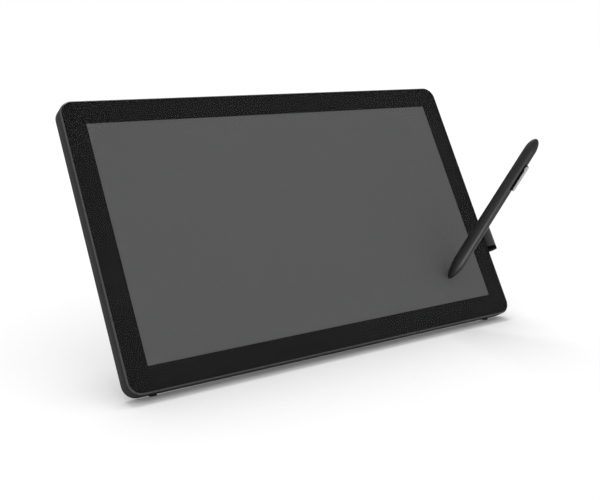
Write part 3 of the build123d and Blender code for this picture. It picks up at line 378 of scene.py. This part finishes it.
def plated(name, colour, roughness, spangle):
    """Plated steel whose crystals differ in tone and gloss."""
    finish = Finish(name)
    grime_size = 0.02
    crystals = finish.cells(spangle, output="Color")
    pick = finish.node("SeparateColor", {0: crystals}).outputs[0]
    edges = finish.cells(spangle, feature="DISTANCE_TO_EDGE")
    grime = finish.noise(grime_size, 4.0)
    tone = finish.blend(pick, shade(colour, 0.72), shade(colour, 1.15))
    tone = finish.blend(finish.between(grime, 0, 0.5, 0.55, 0.75), tone, shade(colour, 0.5))
    return finish.surface(
        base_color=tone,
        metallic=1.0,
        roughness=finish.between(pick, roughness, roughness + 0.18),
        normal=finish.bump(finish.between(edges, 0, 1, 0, 0.1), spangle / 80),
    )


def powdered(name, colour):
    """Powder coat: an orange-peel skin with fine flecks, their lighter colour a painted sparkle, and rubbed high
    spots.
    """
    finish = Finish(name)
    peel_size = 0.0022
    fleck_size = 0.0005
    wear_size = 0.03
    peel_depth = 0.00008
    peel = finish.noise(peel_size, 2.0)
    fleck = finish.cells(fleck_size)
    wear = finish.noise(wear_size, 5.0, roughness=0.7)
    # Painted glint: the flecks are lighter to stand for their sparkle; their relief is real
    tone = finish.blend(finish.between(fleck, 0.5, 0, 0, 0.25), colour, shade(colour, 1.7))
    tone = finish.blend(finish.between(wear, 0, 0.4, 0.62, 0.75), tone, shade(colour, 1.9))
    relief = finish.combined(peel, finish.between(fleck, 0, 0.3))
    return finish.surface(
        base_color=tone,
        roughness=finish.between(wear, 0.42, 0.58, *middle),
        normal=finish.bump(relief, peel_depth),
    )


def masked_board(name):
    """A circuit board: green mask over traces, with tinned pads and pale print."""
    finish = Finish(name)
    pad_pitch = 0.004
    cloud_size = 0.02
    trace_depth = 0.00003
    dark, bright = (0, 0, 0, 1), (1, 1, 1, 1)
    lines = {"Vector": finish.place, "Scale": 180.0, "Mortar Size": 0.03}
    shades = {"Color1": dark, "Color2": dark, "Mortar": bright}
    traces = finish.node("TexBrick", {**lines, **shades}).outputs["Color"]
    pads = finish.between(finish.cells(pad_pitch), 1, 0, 0.1, 0.13)
    tone = finish.blend(traces, (0.008, 0.07, 0.03), (0.015, 0.15, 0.06))
    tone = finish.blend(finish.noise(cloud_size, 3.0), tone, (0.0108, 0.09, 0.0405))
    return finish.surface(
        base_color=finish.blend(pads, tone, (0.55, 0.52, 0.45)),
        roughness=finish.between(pads, 0.32, 0.22),
        metallic=finish.between(pads, 0, 0.9),
        normal=finish.bump(traces, trace_depth),
    )


def filmed(name, colour, roughness=0.4, see_through=0.0):
    """Plastic film or a clear guide with a soft haze and dots that spread light."""
    finish = Finish(name)
    dot_pitch = 0.003
    haze_size = 0.05
    dots = finish.cells(dot_pitch, randomness=0.3)
    haze = finish.noise(haze_size, 2.0)
    tone = finish.blend(finish.between(dots, 1, 0, 0.2, 0.3), colour, shade(colour, 1.1))
    return finish.surface(
        base_color=finish.blend(haze, tone, shade(colour, 0.93)),
        roughness=finish.between(haze, roughness - 0.05, roughness + 0.08),
        transmission_weight=see_through,
    )


def cabled(name):
    """A flat cable: pale film over parallel conductors."""
    finish = Finish(name)
    worn_size = 0.01
    wire_depth = 0.00005
    wires = finish.bands(160.0)
    worn = finish.noise(worn_size, 3.0)
    film, copper = (0.62, 0.6, 0.54), (0.35, 0.24, 0.14)
    tone = finish.blend(finish.between(wires, 0, 1, 0.4, 0.6), film, copper)
    return finish.surface(
        base_color=finish.blend(finish.between(worn, 0, 0.3), tone, (0.5, 0.48, 0.42)),
        roughness=finish.between(worn, 0.35, 0.5),
        normal=finish.bump(wires, wire_depth),
    )


def wound(name, colour):
    """Enamelled copper wire wound round the pen's axis, each turn painted darker at its sides as shade between the
    turns.
    """
    finish = Finish(name)
    spot_size = 0.003
    wire_depth = 0.0001
    turns = finish.bands(900.0, finish.turned(along_pen()), distortion=0.4)
    # Painted shade: the bands darken the wire between the turns
    tone = finish.blend(turns, shade(colour, 0.35), colour)
    spots = finish.between(finish.noise(spot_size), 0, 0.3)
    return finish.surface(
        base_color=finish.blend(spots, tone, shade(colour, 1.3)),
        metallic=0.9,
        roughness=finish.between(turns, 0.42, 0.28),
        normal=finish.bump(turns, wire_depth),
    )


def sintered(name, colour):
    """Pressed and fired ferrite, matte with open grains."""
    finish = Finish(name)
    grain_size = 0.0004
    blotch_size = 0.002
    grain_depth = 0.00003
    grains = finish.cells(grain_size)
    return finish.surface(
        base_color=finish.blend(finish.noise(blotch_size, 3.0), shade(colour, 0.7), shade(colour, 1.4)),
        roughness=finish.between(grains, 0.6, 0.8),
        metallic=0.3,
        normal=finish.bump(grains, grain_depth),
    )


def along_pen():
    """The turn that lays a pattern's X axis along the pen."""
    return pen_along.to_track_quat("X", "Z").to_euler()


# Pieces


def carried(material, *names):
    """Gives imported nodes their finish."""
    for name in names:
        for slot in frame["nodes"][name].material_slots:
            slot.link = "OBJECT"
            slot.material = material


def body_of(node):
    """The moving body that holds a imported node."""
    bodies = frame["record"]["behaviour"]["bodies"]
    return next(body for body, nodes in bodies.items() if node in nodes)


def skin_of(node):
    """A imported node's shape as one skin: merged, smooth on its rounds and sharp at its edges."""
    shape = bmesh.new()
    shape.from_mesh(frame["nodes"][node].data)
    bmesh.ops.remove_doubles(shape, verts=shape.verts, dist=weld_distance)
    bmesh.ops.dissolve_limit(
        shape,
        angle_limit=flat_turn,
        use_dissolve_boundaries=False,
        verts=shape.verts,
        edges=shape.edges,
    )
    for face in shape.faces:
        face.smooth = True
    for edge in shape.edges:
        edge.smooth = not edge.is_manifold or edge.calc_face_angle() < sharp_turn
    return shape


def placed(shape, node, material):
    """A skin made a piece that rides on its node's body and stands for the node."""
    mesh = bpy.data.meshes.new(node + "_skin")
    shape.to_mesh(mesh)
    shape.free()
    piece = bpy.data.objects.new(node + "_skin", mesh)
    bpy.context.scene.collection.objects.link(piece)
    mesh.materials.append(material)
    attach(piece, body_of(node))
    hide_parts(node)
    return piece


def reskinned(material, *names):
    """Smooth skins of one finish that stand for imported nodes."""
    for name in names:
        placed(skin_of(name), name, material)


def refaced(skin, material, is_other):
    """Gives the faces that pass a test a second finish."""
    skin.data.materials.append(material)
    for face in skin.data.polygons:
        if is_other(face):
            face.material_index = 1


# Operators, one for each group of pieces


class TABLET_OT_front(bpy.types.Operator):
    """Finishes the glass, its border, the picture panel and the layers behind it"""

    bl_idname = "tablet.front"
    bl_label = "Glass and Picture"

    def execute(self, context):
        looks = context.scene.tablet_looks
        glass = etched("etched_glass", looks.etch_size)
        inner_glass = etched("glass_back", looks.etch_size, shine=0.0)
        skin = placed(self.lifted_glass(), "cover_glass", glass)
        refaced(skin, inner_glass, lambda face: face.normal.dot(screen_out) < 0)
        carried(printed("black_print", looks.print_colour), "glass_border")
        carried(picture("switched_off_panel", looks.picture_colour), "lcd_panel")
        carried(rubbery("foam_tape", (0.015, 0.015, 0.015), 0.0006), "glass_tape")
        carried(filmed("white_film", (0.75, 0.75, 0.76)), "optical_sheets", "reflector_sheet")
        carried(filmed("clear_acrylic", (0.8, 0.82, 0.84), 0.15, 0.7), "light_guide")
        carried(moulded("frame_plastic", (0.03, 0.03, 0.03), 0.6, 0.0008, 0.00003), "panel_holder")
        return {"FINISHED"}

    def lifted_glass(self):
        """The glass, set a hair off the print behind it so that the two faces stay apart."""
        gap = 0.00005
        shape = skin_of("cover_glass")
        for corner in shape.verts:
            corner.co += screen_out * gap
        return shape


class TABLET_OT_casing(bpy.types.Operator):
    """Finishes the casing, its feet and the metal behind it"""

    bl_idname = "tablet.casing"
    bl_label = "Casing"

    def execute(self, context):
        looks = context.scene.tablet_looks
        colour, grain, depth = looks.casing_colour, looks.grain_size, looks.grain_depth
        casing = moulded("casing_plastic", colour, 0.62, grain, depth, shine=0.02)
        back = moulded("back_plastic", colour, 0.62, grain * 1.6, depth * 1.5, shine=0.05)
        # The rim's plastic is glossier than the casing, and its lighter colour is a painted highlight
        polish_and_highlight = moulded("rim_highlight_plastic", looks.rim_highlight_colour, 0.3, grain, depth / 4, tint=0.05, shine=0.45)
        refaced(placed(skin_of("front_frame"), "front_frame", casing), polish_and_highlight, self.is_rim)
        reskinned(back, "rear_cover")
        carried(rubbery("foot_rubber", looks.rubber_colour), "front_feet", "leg_feet")
        steel = brushed("screw_steel", (0.22, 0.22, 0.23), 0.35)
        carried(steel, "chassis_screws", "cover_screws", "board_screws", "holder_screws", "bracket_screws")
        sheet = plated("chassis_steel", (0.5, 0.51, 0.52), 0.32, 0.006)
        carried(sheet, "chassis_plate", "lock_plate", "bracket_posts")
        return {"FINISHED"}

    def is_rim(self, face):
        """Whether a face slopes and lies at the frame's front edge, where the finish is glossier and is painted
        lighter as a highlight.
        """
        least_slope, most_slope = 0.3, 0.9
        rim_depth = 0.003
        slope = face.normal.dot(screen_out)
        at_front = (face.center - screen_centre).dot(screen_out) > -rim_depth
        return least_slope < slope < most_slope and at_front


class TABLET_OT_boards(bpy.types.Operator):
    """Finishes the boards, cans, sockets and cables inside"""

    bl_idname = "tablet.boards"
    bl_label = "Boards and Sockets"

    def execute(self, context):
        board = masked_board("circuit_board")
        carried(board, "main_board", "panel_board", "key_board", "sensor_board", "led_strip", "pen_board")
        can = brushed("shield_metal", (0.6, 0.6, 0.61), 0.28)
        carried(can, "board_can", "shield_plate", "video_socket", "usb_socket")
        socket = moulded("socket_plastic", (0.02, 0.02, 0.02), 0.5, 0.0005, 0.00002)
        carried(socket, "power_socket", "key_bracket")
        carried(cabled("flat_cable"), "panel_ribbon")
        return {"FINISHED"}


class TABLET_OT_stand(bpy.types.Operator):
    """Finishes the folding stand, its hinges and its lever"""

    bl_idname = "tablet.stand"
    bl_label = "Stand"

    def execute(self, context):
        looks = context.scene.tablet_looks
        reskinned(powdered("leg_metal", looks.stand_colour), "leg_frame")
        lever = moulded("lever_plastic", (0.05, 0.05, 0.052), 0.42, 0.0005, 0.00003)
        reskinned(lever, "release_lever")
        steel = brushed("hinge_steel", (0.36, 0.36, 0.37), 0.3, line=0.0003, reach=0.004)
        reskinned(steel, "left_hinge_bracket", "right_hinge_bracket")
        reskinned(steel, "hinge_shafts", "hinge_nuts", "mount_posts")
        carried(steel, "lever_pin")
        carried(brushed("spring_steel", (0.3, 0.3, 0.3), 0.3), "disc_springs", "lever_spring")
        washer = moulded("washer_plastic", (0.6, 0.6, 0.56), 0.45, 0.0006, 0.00002)
        carried(washer, "friction_washers")
        return {"FINISHED"}


class TABLET_OT_keys(bpy.types.Operator):
    """Finishes the keys on the top edge"""

    bl_idname = "tablet.keys"
    bl_label = "Keys"

    def execute(self, context):
        keys = moulded("key_plastic", (0.04, 0.04, 0.042), 0.38, 0.0004, 0.00002)
        reskinned(keys, "minus_key", "plus_key", "menu_key", "power_key")
        return {"FINISHED"}


class TABLET_OT_holder(bpy.types.Operator):
    """Finishes the pen holder and its base"""

    bl_idname = "tablet.holder"
    bl_label = "Pen Holder"

    def execute(self, context):
        grain, depth = 0.0005, 0.00002
        tube = moulded("holder_plastic", (0.026, 0.026, 0.027), 0.36, grain, depth)
        base = moulded("holder_dark", (0.003, 0.003, 0.0032), 0.6, grain, depth, shine=0.01)
        reskinned(tube, "pen_holder")
        reskinned(base, "holder_base")
        return {"FINISHED"}


class TABLET_OT_pen(bpy.types.Operator):
    """Finishes the pen's shell, its switch, its nib and what is inside"""

    bl_idname = "tablet.pen"
    bl_label = "Pen"

    def execute(self, context):
        looks = context.scene.pen_looks
        grain = 0.0003
        coat = moulded("pen_plastic", looks.barrel_colour, 0.4, grain, 0.000012, patch=0.02)
        reskinned(coat, "pen_grip", "pen_barrel", "tail_cap")
        switch_colour = shade(looks.barrel_colour, 0.7)
        switch = moulded("switch_plastic", switch_colour, 0.32, grain, 0.00001, patch=0.01)
        reskinned(switch, "side_switch")
        carried(switch, "pressure_sensor")
        # Near-black strip under the clip: partly the base's own black plastic, partly painted shade under the clip
        strip = moulded("pen_dark", looks.base_shade_colour, 0.5, grain, 0.00001, shine=0.03, patch=0.01)
        reskinned(strip, "clip_base")
        nib = moulded("nib_plastic", (0.045, 0.045, 0.045), 0.5, 0.0002, 0.000008, patch=0.002)
        reskinned(nib, "nib")
        carried(sintered("ferrite", (0.05, 0.05, 0.055)), "ferrite_core")
        carried(wound("copper_wire", (0.6, 0.27, 0.12)), "pen_coil")
        return {"FINISHED"}


class TABLET_OT_clip(bpy.types.Operator):
    """Finishes the sprung clip"""

    bl_idname = "tablet.clip"
    bl_label = "Clip"

    def execute(self, context):
        colour = context.scene.pen_looks.clip_colour
        metal = brushed("clip_metal", colour, 0.3, along_pen(), line=0.00012, reach=0.006)
        reskinned(metal, "pocket_clip")
        return {"FINISHED"}


class TABLET_OT_studio(bpy.types.Operator):
    """Sets the floor, the background, the lights and the camera"""

    bl_idname = "tablet.studio"
    bl_label = "Studio"

    def execute(self, context):
        looks = context.scene.studio_looks
        self.floor(context, looks)
        self.sky(context, looks)
        self.key(context, looks)
        self.card(context, looks)
        self.camera(context, looks)
        context.scene.view_settings.view_transform = "Standard"
        return {"FINISHED"}

    def stood(self, context, name, data):
        """An object of the studio, put in the scene."""
        made = bpy.data.objects.new(name, data)
        context.scene.collection.objects.link(made)
        return made

    def floor(self, context, looks):
        """A plain pale floor that keeps the object's shadow."""
        floor_reach = 30.0
        shape = bmesh.new()
        bmesh.ops.create_grid(shape, x_segments=1, y_segments=1, size=floor_reach)
        mesh = bpy.data.meshes.new("floor")
        shape.to_mesh(mesh)
        shape.free()
        mesh.materials.append(self.floor_paint(looks))
        self.stood(context, "floor", mesh)

    def floor_paint(self, looks):
        """Pale paint, lifted to white where the camera or a reflection sees it."""
        finish = Finish("floor_paint")
        cloud_size = 0.4
        cloud = finish.noise(cloud_size, 3.0)
        tone = finish.blend(cloud, shade(looks.floor_colour, 0.995), shade(looks.floor_colour, 1.005))
        finish.surface(base_color=tone, roughness=0.9, specular_ior_level=0.0)
        paint = finish.shader.outputs[0]
        glow = finish.node("Emission", {"Color": (1, 1, 1, 1), "Strength": looks.floor_lift})
        lifted = finish.node("AddShader", {0: paint, 1: glow.outputs[0]})
        path = finish.node("LightPath").outputs
        mirrored = finish.combined(path["Is Glossy Ray"], path["Is Transmission Ray"], "MAXIMUM")
        seen = finish.combined(path["Is Camera Ray"], mirrored, "MAXIMUM")
        return finish.mixed(seen, paint, lifted.outputs[0])

    def sky(self, context, looks):
        """White where it is seen, also in glass and metal, and soft on the object."""
        world = bpy.data.worlds.new("studio")
        context.scene.world = world
        world.use_nodes = True
        nodes, links = world.node_tree.nodes, world.node_tree.links
        background = nodes["Background"]
        path = nodes.new("ShaderNodeLightPath")
        most = path.outputs["Is Camera Ray"]
        for kind in ("Is Transmission Ray", "Is Glossy Ray"):
            larger = nodes.new("ShaderNodeMath")
            larger.operation = "MAXIMUM"
            links.new(most, larger.inputs[0])
            links.new(path.outputs[kind], larger.inputs[1])
            most = larger.outputs[0]
        level = nodes.new("ShaderNodeMapRange")
        links.new(most, level.inputs["Value"])
        level.inputs["To Min"].default_value = looks.world_strength
        links.new(level.outputs[0], background.inputs["Strength"])
        background.inputs["Color"].default_value = (1, 1, 1, 1)

    def key(self, context, looks):
        """A far, wide light from above and behind, which lays the shadow in front."""
        rays = Vector((-0.12, -0.5, -0.86))
        data = bpy.data.lights.new("key_light", "SUN")
        data.energy = looks.key_strength
        data.angle = looks.key_spread
        lamp = self.stood(context, "key_light", data)
        lamp.rotation_mode = "QUATERNION"
        lamp.rotation_quaternion = rays.to_track_quat("-Z", "Y")

    def card(self, context, looks):
        """A long card low in front, seen only as the soft stripe that it leaves along the pen."""
        card_width, card_length = 0.1, 0.6
        data = bpy.data.lights.new("pen_card", "AREA")
        data.shape = "RECTANGLE"
        data.size, data.size_y = card_width, card_length
        data.energy = looks.card_strength
        lamp = self.stood(context, "pen_card", data)
        lamp.location = (0.18, -0.45, 0.004)
        lamp.rotation_euler = (pi, 0, 0)
        lamp.visible_camera = False
        lamp.visible_diffuse = False
        lamp.visible_transmission = False

    def camera(self, context, looks):
        """The photograph's view, given from the middle of the screen."""
        place = screen_centre + along_screen(-0.66751, -0.29574, 0.93852)
        ahead = along_screen(0.54262, 0.23721, -0.80579)
        upwards = along_screen(0.11337, 0.92983, 0.35008)
        data = bpy.data.cameras.new("camera")
        data.lens = looks.lens
        data.sensor_width = 36.0
        data.shift_x, data.shift_y = 0.0202, -0.0276
        camera = self.stood(context, "camera", data)
        right = ahead.cross(upwards).normalized()
        top = right.cross(ahead).normalized()
        turn = Matrix((right, top, -ahead.normalized())).transposed()
        camera.matrix_world = Matrix.Translation(place) @ turn.to_4x4()
        context.scene.camera = camera


operators = (
    TABLET_OT_front,
    TABLET_OT_casing,
    TABLET_OT_boards,
    TABLET_OT_stand,
    TABLET_OT_keys,
    TABLET_OT_holder,
    TABLET_OT_pen,
    TABLET_OT_clip,
    TABLET_OT_studio,
)
settings = {"tablet_looks": TabletSettings, "pen_looks": PenSettings, "studio_looks": StudioSettings}


class TABLET_PT_sidebar(bpy.types.Panel):
    """Lists the settings and the pieces of the pen display"""

    bl_idname = "TABLET_PT_sidebar"
    bl_label = "Pen Display"
    bl_space_type = "VIEW_3D"
    bl_region_type = "UI"
    bl_category = "Pen Display"

    def draw(self, context):
        for name, group in settings.items():
            box = self.layout.box()
            for setting in group.__annotations__:
                box.prop(getattr(context.scene, name), setting)
        for operator in operators:
            self.layout.operator(operator.bl_idname)


def register():
    for name, group in settings.items():
        bpy.utils.register_class(group)
        setattr(bpy.types.Scene, name, PointerProperty(type=group))
    for kind in (*operators, TABLET_PT_sidebar):
        bpy.utils.register_class(kind)


def unregister():
    for kind in (TABLET_PT_sidebar, *reversed(operators)):
        bpy.utils.unregister_class(kind)
    for name, group in settings.items():
        delattr(bpy.types.Scene, name)
        bpy.utils.unregister_class(group)


def main():
    register()
    for operator in operators:
        group, call = operator.bl_idname.split(".")
        getattr(getattr(bpy.ops, group), call)()


if __name__ == "__main__":
    main()
